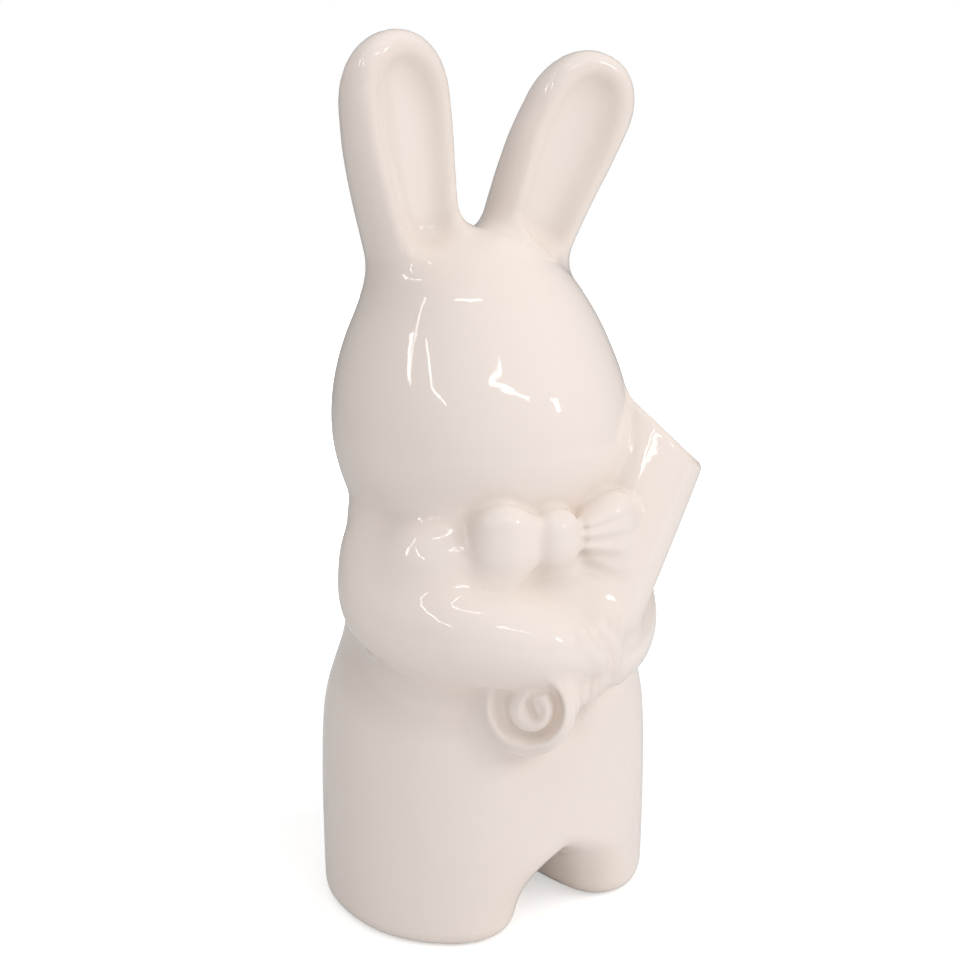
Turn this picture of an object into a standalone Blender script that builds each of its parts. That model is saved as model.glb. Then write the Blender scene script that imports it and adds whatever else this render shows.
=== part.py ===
"""Rabbit vase: a slip-cast, glazed ceramic rabbit that holds a bouquet wrapper, which is the vessel.

Metres, +Z up, the rabbit faces -Y and its left side is +X. The origin is at the middle of the
bounding box's underside. Each piece that is cast on its own is its own solid. The pieces meet at
luted seams, drawn here with a thin gap.
"""
import math

import bmesh
import bpy
import numpy as np
from mathutils import Matrix, Vector

MM = 0.001

# Sizes of the figure
SEAM = 0.3 * MM                 # gap left between two pieces where they are luted together
WALL = 5.0 * MM                 # wall that the slip leaves in the body and the head
HIP_HALF_WIDTH = 60.8 * MM      # half width of the legs and hips, along X
DEPTH_RATIO = 0.831             # the body's front to back size over its width
FOOT_ROUND = 3.2 * MM           # rounding of the standing edge
NECK_HEIGHT = 151.0 * MM        # height of the seam between body and head
BODY_SQUARENESS = 2.25          # 2 is an oval, higher is squarer
CHEST_BULGE = 9.0 * MM          # how far the chest swells out beside the bouquet

CROTCH_HEIGHT = 26.0 * MM       # top of the notch between the legs
NOTCH_WAIST = 9.5 * MM          # half width of the notch at its middle
NOTCH_FLARE = 11.0 * MM         # what it widens by towards the front and the back
VENT_RADIUS = 4.0 * MM          # firing vent in the sole of each foot
VENT_OFFSET = 37.0 * MM         # vent's distance from the middle

HEAD_RISE = 29.0 * MM           # height of the head's middle above the neck seam
HEAD_HALF_HEIGHT = 59.0 * MM
HEAD_HALF_WIDTH = 54.6 * MM
HEAD_FRONT = 47.5 * MM
HEAD_BACK = 48.8 * MM

EAR_LENGTH = 80.0 * MM          # from where it leaves the head to its tip
EAR_HALF_WIDTH = 20.0 * MM
EAR_HALF_THICKNESS = 14.0 * MM
EAR_SCOOP = 8.0 * MM            # depth of the hollow in its face
EAR_SPACING = 20.5 * MM         # ear's middle to the figure's middle, on the head
EAR_LEAN_OUT = 0.30             # run over rise
EAR_LEAN_FORWARD = 0.19

ARM_RADIUS = 16.8 * MM          # thickest part of the right arm, at the elbow
LEFT_ARM_RADIUS = 13.2 * MM
FINGER_RADIUS = 3.6 * MM

MOUTH_RADIUS = 26.3 * MM        # the bouquet wrapper's radius at its mouth
MOUTH_RISE = 21.0 * MM          # the mouth's middle, above the neck seam
MOUTH_STAND = 12.6 * MM         # and how far it stands off the side
WAIST_RADIUS = 9.5 * MM         # the wrapper's radius where the hand holds it
WAIST_DROP = 64.0 * MM          # that place, below the neck seam
WAIST_STAND = 3.2 * MM
VESSEL_WALL = 4.0 * MM
LIP_ROUND = 1.0 * MM

ROLL_RADIUS = 16.0 * MM         # the rolled end below the hand
ROLL_DROP = 1.8 * MM            # its middle, below the place where the hand holds the wrapper
ROLL_STAND = 12.6 * MM
ROLL_DEPTH = 2.7 * MM           # depth of the groove in the roll

BOW_DROP = 13.3 * MM            # the bow's middle, below the neck seam
KNOT_HALF = (8.6 * MM, 8.0 * MM, 9.9 * MM)
KNOT_STAND = 6.1 * MM
LOOP_HALF = (14.4 * MM, 9.4 * MM, 13.4 * MM)
LOOP_STAND = 4.4 * MM
FAR_LOOP_STAND = 7.8 * MM       # the left loop lies on the wrapper
LOOP_PINCH = 0.55               # the loop's height where it meets the knot, as a share of its full height
TAIL_RADIUS = 12.0 * MM

GLAZE = (0.86, 0.82, 0.78, 1.0)


def curve(x, knots):
    """A smooth curve through (position, value) knots, level beyond its ends."""
    at = np.array([k[0] for k in knots], float)
    value = np.array([k[1] for k in knots], float)
    slope = np.gradient(value, at)
    x = min(max(x, at[0]), at[-1])
    i = int(min(max(np.searchsorted(at, x) - 1, 0), len(at) - 2))
    h = at[i + 1] - at[i]
    t = (x - at[i]) / h
    return float((2 * t**3 - 3 * t**2 + 1) * value[i] + (t**3 - 2 * t**2 + t) * h * slope[i]
                 + (3 * t**2 - 2 * t**3) * value[i + 1] + (t**3 - t**2) * h * slope[i + 1])


def reach(c, s, a, b, n):
    """Distance from the middle of a squarish oval to its edge, towards (c, s)."""
    return (abs(c / a) ** n + abs(s / b) ** n) ** (-1 / n)


# Scene, collections and materials
for old in list(bpy.data.objects):
    bpy.data.objects.remove(old)
scene = bpy.context.scene
figure = bpy.data.collections.new("rabbit_vase")
helpers = bpy.data.collections.new("cutters")
scene.collection.children.link(figure)
scene.collection.children.link(helpers)
root = bpy.data.objects.new("rabbit_vase_root", None)
figure.objects.link(root)


def glaze(name, tint):
    mat = bpy.data.materials.new(name)
    mat.use_nodes = True
    shader = mat.node_tree.nodes["Principled BSDF"]
    shader.inputs["Base Color"].default_value = tuple(c * tint for c in GLAZE[:3]) + (1.0,)
    shader.inputs["Roughness"].default_value = 0.12
    shader.inputs["Metallic"].default_value = 0.0
    return mat


def keep(name, bm, cutter=False, tint=1.0):
    """Turns a bmesh into an object: a piece of the figure, or a cutter that no render shows."""
    bmesh.ops.remove_doubles(bm, verts=bm.verts[:], dist=1e-6)
    bmesh.ops.recalc_face_normals(bm, faces=bm.faces[:])
    mesh = bpy.data.meshes.new(name)
    bm.to_mesh(mesh)
    bm.free()
    mesh.polygons.foreach_set("use_smooth", [not cutter] * len(mesh.polygons))
    obj = bpy.data.objects.new(name, mesh)
    if cutter:
        helpers.objects.link(obj)
        obj.hide_render = True
        obj.display_type = "WIRE"
    else:
        mesh.materials.append(glaze(name, tint))
        figure.objects.link(obj)
    obj.parent = root
    return obj


def turned(profile, segments, press):
    """Turns an (r, z) profile about Z, then presses each point to its place with press(x, y, z)."""
    bm = bmesh.new()
    points = [bm.verts.new((r, 0.0, z)) for r, z in profile]
    edges = [bm.edges.new(pair) for pair in zip(points[:-1], points[1:])]
    bmesh.ops.spin(bm, geom=points + edges, cent=(0, 0, 0), axis=(0, 0, 1),
                   angle=2 * math.pi, steps=segments, use_merge=True)
    bmesh.ops.remove_doubles(bm, verts=bm.verts[:], dist=1e-7)
    for v in bm.verts:
        v.co = Vector(press(*v.co))
    return bm


def grown(source, name, by):
    """A cutter: the same form, swollen by this distance, or shrunk if it is negative."""
    bm = bmesh.new()
    bm.from_mesh(source.data)
    bm.normal_update()
    for v, normal in [(v, v.normal.copy()) for v in bm.verts]:
        v.co += normal * by
    return keep(name, bm, cutter=True)


def boolean(obj, cutter, operation="DIFFERENCE"):
    mod = obj.modifiers.new(f"{operation.lower()}_{cutter.name}", "BOOLEAN")
    mod.operation = operation
    mod.object = cutter
    mod.solver = "EXACT"


def ball(segments, rings, press):
    """A sphere of radius 1, each point pressed to its place."""
    bm = bmesh.new()
    bmesh.ops.create_uvsphere(bm, u_segments=segments, v_segments=rings, radius=1.0)
    for v in bm.verts:
        v.co = Vector(press(*v.co))
    return bm


def pillow(middle, half, face, squareness, segments, rings, pinch=1.0, side=1):
    """A ball pressed to a soft block of these half sizes, its face turned about Z by an angle.

    The end towards -side is pinched to this share of the height and depth."""
    turn = Matrix.Rotation(face, 3, "Z")

    def press(x, y, z):
        k = (abs(x) ** squareness + abs(y) ** squareness + abs(z) ** squareness) ** (-1 / squareness)
        far = min(max((side * x * k + 1) / 1.3, 0.0), 1.0)
        slim = pinch + (1 - pinch) * far * far * (3 - 2 * far)
        return Vector(middle) + turn @ Vector((x * k * half[0], y * k * half[1] * slim, z * k * half[2] * slim))
    return ball(segments, rings, press)


def bar(name, points, radii, sides, rounds, cutter=False, tint=1.0):
    """A round bar along a smooth path, with rounded ends."""
    points = [Vector(p) for p in points]
    run = [0.0]
    for a, b in zip(points[:-1], points[1:]):
        run.append(run[-1] + (b - a).length)
    stations = [run[-1] * i / rounds for i in range(rounds + 1)]
    path = [Vector([curve(s, [(r, p[i]) for r, p in zip(run, points)]) for i in range(3)]) for s in stations]
    size = [curve(s, list(zip(run, radii))) for s in stations]
    start, end = (path[0] - path[1]).normalized(), (path[-1] - path[-2]).normalized()
    caps = [(0.5, 0.866), (0.866, 0.5), (0.98, 0.2)]
    before = [(path[0] + start * size[0] * far, size[0] * slim) for far, slim in reversed(caps)]
    after = [(path[-1] + end * size[-1] * far, size[-1] * slim) for far, slim in caps]
    whole = before + list(zip(path, size)) + after
    data = bpy.data.curves.new(name + "_path", "CURVE")
    data.dimensions = "3D"
    data.bevel_depth = 1.0
    data.bevel_resolution = sides // 2 - 2
    data.use_fill_caps = True
    spline = data.splines.new("POLY")
    spline.points.add(len(whole) - 1)
    for point, (place, radius) in zip(spline.points, whole):
        point.co = (*place, 1.0)
        point.radius = radius
    holder = bpy.data.objects.new(name + "_path", data)
    helpers.objects.link(holder)
    bpy.context.view_layer.update()
    mesh = bpy.data.meshes.new_from_object(holder.evaluated_get(bpy.context.evaluated_depsgraph_get()))
    bm = bmesh.new()
    bm.from_mesh(mesh)
    bpy.data.objects.remove(holder)
    bpy.data.meshes.remove(mesh)
    return keep(name, bm, cutter, tint)


# Body: torso and legs
# The half width by height, as shares of the hips' half width.
BODY_SHAPE = [(0, 0.995), (22, 1.0), (47, 1.0), (62, 0.992), (72, 0.977), (80, 0.949), (88, 0.906), (96, 0.862),
              (106, 0.833), (118, 0.813), (130, 0.796), (140, 0.783), (148, 0.786), (158, 0.800), (172, 0.82)]
BODY_MIDDLE_Y = -0.8 * MM
CHEST_X, CHEST_DROP, CHEST_SPREAD = 6.0 * MM, 29.0 * MM, 20.0 * MM


def body_width(z):
    return HIP_HALF_WIDTH * curve(z / MM, BODY_SHAPE)


def chest(x, y, z):
    front = min(max(-y / (30.0 * MM), 0.0), 1.0)
    hill = math.exp(-((x - CHEST_X) ** 2 + (z - NECK_HEIGHT + CHEST_DROP) ** 2) / CHEST_SPREAD**2)
    return CHEST_BULGE * hill * front * front * (3 - 2 * front)


def body_press(x, y, z, inset=0.0):
    r = math.hypot(x, y)
    if r < 1e-9:
        return (0.0, BODY_MIDDLE_Y, z)
    a = body_width(z)
    k = reach(x / r, y / r, a - inset, a * DEPTH_RATIO - inset, BODY_SQUARENESS)
    x, y = x * k, y * k
    return (x, y + BODY_MIDDLE_Y - chest(x, y, z), z)


def hollow_press(x, y, z):
    return body_press(x, y, z, WALL)


def on_body(angle, height, stand=0.0):
    """A point beside the body: 0 degrees is the front, 90 is the rabbit's left."""
    c, s = math.sin(math.radians(angle)), -math.cos(math.radians(angle))
    a = body_width(height)
    r = reach(c, s, a, a * DEPTH_RATIO, BODY_SQUARENESS) + stand
    return Vector((c * r, s * r + BODY_MIDDLE_Y, height))


edge = FOOT_ROUND / HIP_HALF_WIDTH
top = NECK_HEIGHT + 14 * MM
heights = [10, 26, 44, 60, 72, 82, 91, 100, 110, 121, 132, 143, 154]
body_profile = [(0.0, 0.0), (1 - edge, 0.0), (1 - 0.3 * edge, 0.3 * FOOT_ROUND), (1.0, FOOT_ROUND)]
body_profile += [(1.0, h * MM) for h in heights if FOOT_ROUND < h * MM < top - 4 * MM] + [(1.0, top), (0.0, top)]
body = keep("body", turned(body_profile, 40, body_press))
body_form = grown(body, "body_form", SEAM)
floor_round = 5 * MM / HIP_HALF_WIDTH
hollow_profile = [(0.0, WALL), (1 - 2 * floor_round, WALL), (1 - 0.5 * floor_round, WALL + 1.5 * MM)]
hollow_profile += [(1.0, WALL + 5 * MM)] + [(1.0, h * MM) for h in heights[1:] if h * MM < top - 9 * MM]
hollow_profile += [(1.0, top - WALL), (0.0, top - WALL)]
body_hollow = keep("body_hollow", turned(hollow_profile, 36, hollow_press), cutter=True)


def tunnel(name, grow):
    """The notch between the legs: an arch that narrows to its middle, drawn out from front to back."""
    half_depth = HIP_HALF_WIDTH * DEPTH_RATIO + 12 * MM
    arch = [(0.92, -10 * MM), (0.88, 0.0), (0.82, 0.24), (0.68, 0.47), (0.38, 0.70), (0.17, 0.88), (0.0, 1.0)]
    arch = [(w, h if h < 0 else h * CROTCH_HEIGHT) for w, h in arch]
    bm = bmesh.new()
    rings = []
    for i in range(13):
        y = half_depth * (i / 6 - 1)
        full = NOTCH_WAIST + NOTCH_FLARE * min(abs(y) / (45 * MM), 1.3) ** 1.8
        sides = [(full * w, h) for w, h in arch]
        outline = [(-x - grow, h) for x, h in sides[:-1]] + [(0.0, CROTCH_HEIGHT + grow)]
        outline += [(x + grow, h) for x, h in reversed(sides[:-1])]
        rings.append([bm.verts.new((x + 1.5 * MM, y + BODY_MIDDLE_Y, h)) for x, h in outline])
    for near, far in zip(rings[:-1], rings[1:]):
        for i in range(len(near)):
            j = (i + 1) % len(near)
            bm.faces.new((near[i], near[j], far[j], far[i]))
    bm.faces.new(rings[0])
    bm.faces.new(rings[-1])
    return keep(name, bm, cutter=True)


notch = tunnel("leg_notch", 0.0)
notch_lining = tunnel("leg_notch_lining", WALL)

# Head
HEAD_MIDDLE = NECK_HEIGHT + HEAD_RISE
HEAD_TAPER = [(-1.0, 1.126), (-0.6, 1.095), (-0.25, 1.044), (0.0, 1.0), (0.3, 0.956), (0.6, 0.934), (1.0, 0.925)]
FACE_TAPER = [(-1.0, 1.137), (-0.6, 1.116), (-0.25, 1.074), (0.0, 1.0), (0.3, 0.912), (0.6, 0.855), (1.0, 0.832)]


def head_press(x, y, z, inset=0.0):
    both = (HEAD_FRONT * curve(z, FACE_TAPER) + HEAD_BACK) / 2
    wide = HEAD_HALF_WIDTH * curve(z, HEAD_TAPER) - inset
    return (x * wide, HEAD_BACK - both + y * (both - inset), HEAD_MIDDLE + z * (HEAD_HALF_HEIGHT - inset))


def head_hollow_press(x, y, z):
    return head_press(x, y, z, WALL)


head = keep("head", ball(36, 24, head_press), tint=0.99)
head_form = grown(head, "head_form", SEAM)
head_hollow = keep("head_hollow", ball(32, 20, head_hollow_press), cutter=True)


def slab(name, low, high):
    """A block wider than the figure, between two heights."""
    bm = bmesh.new()
    bmesh.ops.create_cube(bm, size=1.0)
    for v in bm.verts:
        wide = 4 * HEAD_HALF_HEIGHT
        v.co = Vector((v.co.x * wide, v.co.y * wide, low + (v.co.z + 0.5) * (high - low)))
    return keep(name, bm, cutter=True)


above_neck = slab("above_neck", NECK_HEIGHT - SEAM, NECK_HEIGHT + HEAD_HALF_HEIGHT)
below_neck = slab("below_neck", NECK_HEIGHT - HEAD_HALF_HEIGHT, NECK_HEIGHT)
below_head_floor = slab("below_head_floor", NECK_HEIGHT - 1.2 * HEAD_HALF_HEIGHT, NECK_HEIGHT + WALL)

# Bouquet wrapper: the vessel
waist = on_body(3, NECK_HEIGHT - WAIST_DROP, WAIST_STAND)
mouth = on_body(72, NECK_HEIGHT + MOUTH_RISE, MOUTH_STAND)
wrap_axis = (mouth - waist).normalized()
wrap_length = (mouth - waist).length
wrap_turn = wrap_axis.to_track_quat("Z", "Y").to_matrix()
mouth_normal = Vector((0.557, -0.39, 0.73)).normalized()
WRAP_SHAPE = [(-0.06, 0.0), (0.0, 0.0), (0.11, 0.15), (0.22, 0.39), (0.37, 0.57), (0.65, 0.757), (1.0, 1.0), (1.4, 1.28)]


def wrap_radius(t):
    return WAIST_RADIUS + (MOUTH_RADIUS - WAIST_RADIUS) * curve(t, WRAP_SHAPE)


def wrap_place(x, y, z):
    return waist + wrap_turn @ Vector((x, y, z))


def wrapper(name, inner, cutter, tint=1.0, by=0.0):
    """The wrapper as one turned profile, cut off obliquely at its mouth, where its sides run straight.

    A cutter is swollen by a distance all round."""
    bottom = -by / wrap_length
    far = 1.42
    steps = [0.04, 0.08, 0.12, 0.18, 0.25, 0.34, 0.46, 0.62, far]
    outside = [(0.0, bottom), (0.8 * wrap_radius(0) + by, bottom), (wrap_radius(0) + by, bottom + 0.018)]
    outside += [(wrap_radius(t) + by, t) for t in steps]
    profile = outside + [(0.0, far)]
    if inner:
        wall = VESSEL_WALL
        cup = [t for t in steps if t > 0.2]
        inside = [(wrap_radius(t) - wall, t) for t in reversed(cup)]
        inside += [(0.75 * (wrap_radius(0.2) - wall), 0.2 - 0.02), (0.0, 0.2 - 0.05)]
        profile = outside + inside
    bm = turned([(r, t * wrap_length) for r, t in profile], 36, wrap_place)
    geom = bm.verts[:] + bm.edges[:] + bm.faces[:]
    edge = mouth + mouth_normal * by
    bmesh.ops.bisect_plane(bm, geom=geom, dist=1e-7, plane_co=edge, plane_no=mouth_normal, clear_outer=True)
    rim = [e for e in bm.edges if e.is_boundary]
    if inner:
        bmesh.ops.bridge_loops(bm, edges=rim)
        bmesh.ops.recalc_face_normals(bm, faces=bm.faces[:])
        lip = [e for e in bm.edges if len(e.link_faces) == 2 and all(abs((v.co - mouth).dot(mouth_normal)) < 1e-5
               for v in e.verts) and e.calc_face_angle() > 0.5]
        bmesh.ops.bevel(bm, geom=lip, offset=LIP_ROUND, segments=2, profile=0.5, affect="EDGES", material=-1)
    else:
        bmesh.ops.contextual_create(bm, geom=rim)
    return keep(name, bm, cutter, tint)


vessel = wrapper("bouquet_wrapper_vessel", True, False, tint=1.01)
wrap_form = wrapper("wrapper_form", False, True, by=SEAM)
wrap_lining = wrapper("wrapper_lining", False, True, by=WALL)

# The body and head are cut for their hollows, the seam at the neck and the wrapper that they hold
boolean(body_hollow, notch_lining)
boolean(body_hollow, wrap_lining)
boolean(body, wrap_form)
boolean(body, notch)
boolean(body, above_neck)
boolean(body, body_hollow)
boolean(head_hollow, wrap_lining)
boolean(head_hollow, below_head_floor)
boolean(head, wrap_form)
boolean(head, below_neck)
boolean(head, head_hollow)
boolean(head, body_hollow)
for side, label in ((-1, "right"), (1, "left")):
    bm = bmesh.new()
    bmesh.ops.create_cone(bm, cap_ends=True, segments=20, radius1=VENT_RADIUS, radius2=VENT_RADIUS, depth=4 * WALL,
                          matrix=Matrix.Translation((side * VENT_OFFSET, 0, 0)))
    boolean(body, keep(f"vent_{label}", bm, cutter=True))

# Ears
EAR_OUTLINE = [(-14, 0.875), (0, 0.88), (15, 0.89), (30, 0.94), (45, 0.99), (60, 1.0), (81, 1.0)]
EAR_TAPER = [(-14, 0.99), (0, 1.0), (15, 1.03), (30, 0.985), (45, 0.90), (60, 0.786), (81, 0.69)]
EAR_ROOT = -14 * MM
EAR_DOME = EAR_LENGTH - 23 * MM


def ear_turn(side):
    along = Vector((side * EAR_LEAN_OUT, -EAR_LEAN_FORWARD, 1.0)).normalized()
    yaw = math.radians(6)
    face = Vector((-side * math.sin(yaw), -math.cos(yaw), 0.0))
    face = (face - along * face.dot(along)).normalized()
    return Matrix((face.cross(along) * side, face, along)).transposed()


def ear_place(side, u, v, n):
    bend = 2.6 * MM * min(max(n / (70 * MM), 0), 1.3) ** 2
    forward = 3.5 * MM * min(max(n / (75 * MM), 0), 1.3) ** 2
    out = ear_turn(side) @ Vector((u, v + forward, n))
    return Vector((side * EAR_SPACING, 7.5 * MM, HEAD_MIDDLE + 44 * MM)) + out + Vector((side * bend, 0, 0))


def ear(side, name):
    def press(x, y, z):
        r = math.hypot(x, y)
        w = EAR_HALF_WIDTH * curve(z / MM, EAR_OUTLINE)
        t = EAR_HALF_THICKNESS * curve(z / MM, EAR_TAPER)
        back = -(t - 11.0 * MM)
        if r < 1e-9:
            return ear_place(side, 0.0, back, z)
        k = reach(x / r, y / r, w, t, 2.5)
        return ear_place(side, x * k, y * k + back, z)
    dome = [(1.0, 0.0), (0.985, 0.28), (0.93, 0.52), (0.82, 0.72), (0.64, 0.87), (0.38, 0.965), (0.0, 1.0)]
    reach_up = EAR_LENGTH - EAR_DOME
    profile = [(0.0, EAR_ROOT), (1.0, EAR_ROOT)] + [(1.0, h * MM) for h in (-4, 8, 20, 32, 44)]
    profile += [(r, EAR_DOME + q * reach_up) for r, q in dome]
    obj = keep(name, turned(profile, 28, press), tint=0.98)

    def scoop(x, y, z):
        n = EAR_LENGTH * (0.49 + 0.40 * z)
        w = EAR_HALF_WIDTH * 0.72 * (1 + 0.12 * z)
        face = EAR_HALF_THICKNESS * curve(n / MM, EAR_TAPER)
        v = face - (face - 11.0 * MM) + 1.5 * MM
        return ear_place(side, x * w, v + y * (EAR_SCOOP + 1.5 * MM), n)
    boolean(obj, keep(name + "_scoop", ball(28, 18, scoop), cutter=True))
    boolean(obj, head_form)
    return obj


ear_right = ear(-1, "ear_right")
ear_left = ear(1, "ear_left")

# Arms
# Their stations: the angle round the body, the drop from the neck seam towards the place where the
# hand holds the wrapper, as a share of that height, and the stand off the body in millimetres.
RIGHT_ARM = [(-90, 0.25, -2.9), (-82, 0.39, 0.7), (-74, 0.54, 1.9), (-62, 0.625, 1.8), (-44, 0.664, 3.3),
             (-28, 0.703, 6.1), (-11, 0.766, 9.1), (-1, 0.80, 11.3), (4.5, 0.828, 11.6)]
RIGHT_ARM_SIZE = [0.60, 0.80, 0.92, 0.98, 1.0, 0.95, 0.83, 0.69, 0.58]
LEFT_ARM = [(94, 0.203, -4.6), (86, 0.36, -0.5), (76, 0.578, 1.6), (68, 0.703, 1.5), (53, 0.797, 1.9), (34, 0.875, 3.2)]
LEFT_ARM_SIZE = [0.83, 0.985, 1.0, 0.97, 0.91, 0.8]
FINGERS = [((5, 0.672, 17.8), (13.5, 0.812, 16.0)), ((1.5, 0.742, 18.6), (11, 0.89, 15.6)),
           ((-2.5, 0.82, 17.8), (7, 0.953, 14.4))]


def along_body(stations):
    return [on_body(angle, NECK_HEIGHT - share * WAIST_DROP, stand * MM) for angle, share, stand in stations]


arm_right = bar("arm_right", along_body(RIGHT_ARM), [ARM_RADIUS * s for s in RIGHT_ARM_SIZE], 16, 18, tint=1.0)
finger_forms = []
for i, ends in enumerate(FINGERS):
    a, b = along_body(ends)
    radii = [FINGER_RADIUS, FINGER_RADIUS, 0.9 * FINGER_RADIUS]
    finger = bar(f"finger_{i + 1}", [a, (a + b) / 2, b], radii, 10, 3, cutter=True)
    boolean(arm_right, finger, "UNION")
    finger_forms.append(grown(finger, f"finger_{i + 1}_form", SEAM))
arm_left = bar("arm_left", along_body(LEFT_ARM), [LEFT_ARM_RADIUS * s for s in LEFT_ARM_SIZE], 16, 13, tint=0.99)
for arm in (arm_right, arm_left):
    boolean(arm, body_form)
    boolean(arm, wrap_form)
    boolean(arm, head_form)
arm_form = bar("arm_form", along_body(RIGHT_ARM), [ARM_RADIUS * s + SEAM for s in RIGHT_ARM_SIZE], 16, 18, cutter=True)

# Rolled end of the wrapper: it leaves the hand beside the vessel's foot, flares out again and shows
# the rolled edge of its sheet. Its rings are parallel to its face, strung along a slanting line.
roll_face = on_body(-23, waist.z - ROLL_DROP, ROLL_STAND)
roll_turn = Vector((-0.72, -0.68, 0.10)).to_track_quat("Z", "Y").to_matrix()
roll_along = (roll_face - waist).normalized()
roll_length = (roll_face - waist).length
ROLL_SHAPE = [(-1.1, 0.68), (-0.9, 0.78), (-0.67, 0.88), (-0.45, 0.96), (-0.27, 1.0), (-0.16, 0.98), (-0.08, 0.94),
              (-0.03, 0.875), (0.0, 0.795)]
ROLL_FRONT = [(0.72, 0.33), (0.645, 0.85), (0.575, 1.0), (0.5, 0.7), (0.41, 0.19), (0.325, 0.0), (0.22, 0.22), (0.12, 0.6)]


def roll_place(x, y, z):
    return roll_face + roll_turn @ Vector((x, y, 0.0)) + roll_along * z


profile = [(0.0, ROLL_SHAPE[0][0] * roll_length)]
profile += [(ROLL_RADIUS * r, roll_length * h) for h, r in ROLL_SHAPE]
profile += [(ROLL_RADIUS * r, -ROLL_DEPTH * h) for r, h in ROLL_FRONT] + [(0.0, -0.8 * ROLL_DEPTH)]
roll = keep("wrapper_rolled_end", turned(profile, 32, roll_place), tint=1.01)
boolean(roll, wrap_form)
boolean(roll, body_form)
boolean(roll, arm_form)
for finger_form in finger_forms:
    boolean(roll, finger_form)

# Bow tie
knot_middle = on_body(-5.8, NECK_HEIGHT - BOW_DROP, KNOT_STAND)
knot = keep("bow_knot", pillow(knot_middle, KNOT_HALF, 0.0, 2.5, 20, 14), tint=1.0)
knot_form = grown(knot, "knot_form", SEAM)
loops = []
for side, angle, stand, label in ((-1, -24.6, LOOP_STAND, "right"), (1, 19.0, FAR_LOOP_STAND, "left")):
    middle = on_body(angle, NECK_HEIGHT - BOW_DROP, stand)
    soft = pillow(middle, LOOP_HALF, side * 0.3, 2.9, 24, 16, LOOP_PINCH, side)
    loops.append(keep(f"bow_loop_{label}", soft, tint=1.01))
for piece, neighbours in ((knot, []), (loops[0], [knot_form, arm_form]), (loops[1], [knot_form, wrap_form])):
    for form in [body_form, head_form] + neighbours:
        boolean(piece, form)

# Tail
tail_middle = on_body(180, 62 * MM, 3 * MM)
tail = keep("tail", pillow(tail_middle, (TAIL_RADIUS,) * 3, 0.0, 2.0, 24, 14), tint=0.99)
boolean(tail, body_form)

# The origin goes to the middle of the bounding box's underside
bpy.context.view_layer.update()
graph = bpy.context.evaluated_depsgraph_get()
low, high = Vector((1, 1, 1)), Vector((-1, -1, -1))
for obj in figure.objects:
    if obj.type != "MESH":
        continue
    mesh = obj.evaluated_get(graph).to_mesh()
    for v in mesh.vertices:
        low = Vector(map(min, low, v.co))
        high = Vector(map(max, high, v.co))
root.location = (-(low.x + high.x) / 2, -(low.y + high.y) / 2, -low.z)
bpy.context.view_layer.update()
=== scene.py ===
"""White glazed rabbit vase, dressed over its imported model.

One unbroken glaze runs over all the pieces of the real figure, so one skin stands for all of them.
Each section below gives one piece as a depth function: millimetres outside (+) or inside (-) of
the piece, for points measured from the trunk's middle line and from the level of the soles. The
glaze section joins these forms with fillets, as slip and glaze fill the seams, and lays the skin
over the result.
"""
import math

import bmesh
import bpy
import numpy as np
import openvdb
from mathutils import Matrix, Vector


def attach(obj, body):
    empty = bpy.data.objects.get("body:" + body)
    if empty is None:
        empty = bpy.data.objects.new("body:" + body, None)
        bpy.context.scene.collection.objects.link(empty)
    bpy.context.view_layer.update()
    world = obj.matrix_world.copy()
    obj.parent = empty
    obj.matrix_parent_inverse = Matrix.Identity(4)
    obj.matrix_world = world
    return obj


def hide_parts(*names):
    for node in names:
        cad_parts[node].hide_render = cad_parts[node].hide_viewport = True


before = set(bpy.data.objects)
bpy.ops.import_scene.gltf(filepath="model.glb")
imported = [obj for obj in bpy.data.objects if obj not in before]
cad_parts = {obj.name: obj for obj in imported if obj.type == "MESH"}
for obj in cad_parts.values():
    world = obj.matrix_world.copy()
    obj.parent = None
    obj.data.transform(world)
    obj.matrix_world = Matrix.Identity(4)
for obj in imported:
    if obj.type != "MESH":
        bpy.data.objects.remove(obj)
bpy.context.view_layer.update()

# Trunk and legs
# The largest casting: a squarish oval column with an arched notch between its two legs, a chest
# that swells beside the bouquet, a full right shoulder, and a firing vent in each sole.
HIP_HALF_WIDTH = 60.8
TRUNK_DEPTH = 0.831                 # front to back over side to side
TRUNK_SQUARENESS = 2.25
TRUNK_BACK = -0.8
TRUNK_TOP = 158.0
TRUNK_EDGE = 6.0
TRUNK_PROFILE = [(0, 0.995), (22, 1.0), (47, 1.0), (62, 0.992), (72, 0.977), (80, 0.949), (88, 0.906),
                 (96, 0.862), (106, 0.833), (118, 0.813), (130, 0.796), (140, 0.783), (148, 0.786),
                 (158, 0.800), (172, 0.82)]
NOTCH_PROFILE = [(-2, 0.86), (2, 0.84), (6, 0.79), (12, 0.68), (17, 0.53), (21, 0.34), (25, 0.08),
                 (29, -0.24), (42, -1.4)]
NOTCH_MIDDLE = 0.3
NOTCH_WAIST = 12.5                  # half width under the middle of the trunk
NOTCH_FLARE = 9.0                   # how much wider it is at the flare's reach, front and back
NOTCH_FLARE_REACH = 45.0
NOTCH_CROWN = 3.0                   # rounds the top of the arch
NOTCH_STEEPNESS = 0.72
NOTCH_EDGE = 15.0
CHEST_BULGE = 9.0
CHEST_MIDDLE = (6.0, 122.0)
CHEST_SPREAD = 20.0
CHEST_FRONT = -30.0                 # the swelling is full from here forward
SHOULDER_MIDDLE = (-28.0, -20.0, 128.0)
SHOULDER_HALF = (29.0, 23.0, 21.5)
SHOULDER_FILLET = 8.0
VENT_OFFSET = 37.0
VENT_RADIUS = 4.0
VENT_DEPTH = 9.0
VENT_EDGE = 1.2


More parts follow.
